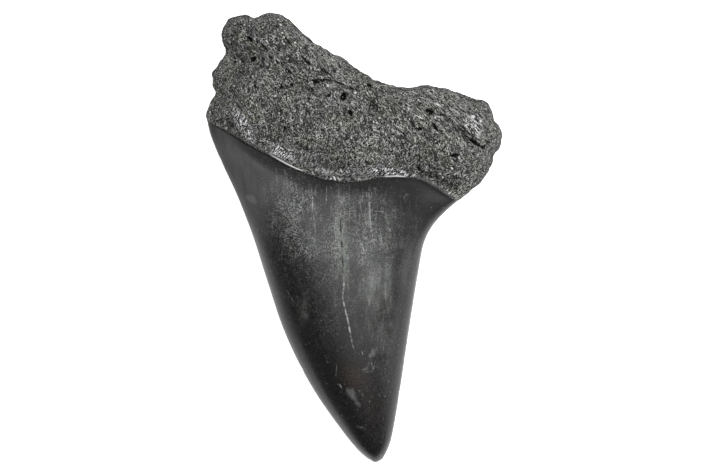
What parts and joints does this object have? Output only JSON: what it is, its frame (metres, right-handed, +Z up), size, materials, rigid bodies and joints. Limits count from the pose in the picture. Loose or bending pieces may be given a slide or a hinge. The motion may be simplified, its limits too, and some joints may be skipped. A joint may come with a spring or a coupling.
{
  "type": "fossil mako shark tooth",
  "caption": "Fossil shark tooth with a smooth, slanted triangular enamel crown and a rough, porous bone root, lying on its flatter outer face.",
  "frame": {"origin": "bottom centre of the box around the tooth as it lies, on the surface that it lies on", "axes": "+Y from the crown's tip towards the root, +Z up out of the lingual (inner, more rounded) face, +X across the tooth towards the lower root lobe"},
  "size_m": [0.0354, 0.0539, 0.009],
  "materials": {
    "fossil": "black to dark grey mineral: rough and grainy on the root, smooth with a worn satin sheen on the crown"
  },
  "bodies": {
    "root": {"tooth": "fossil"}
  },
  "joints": []
}
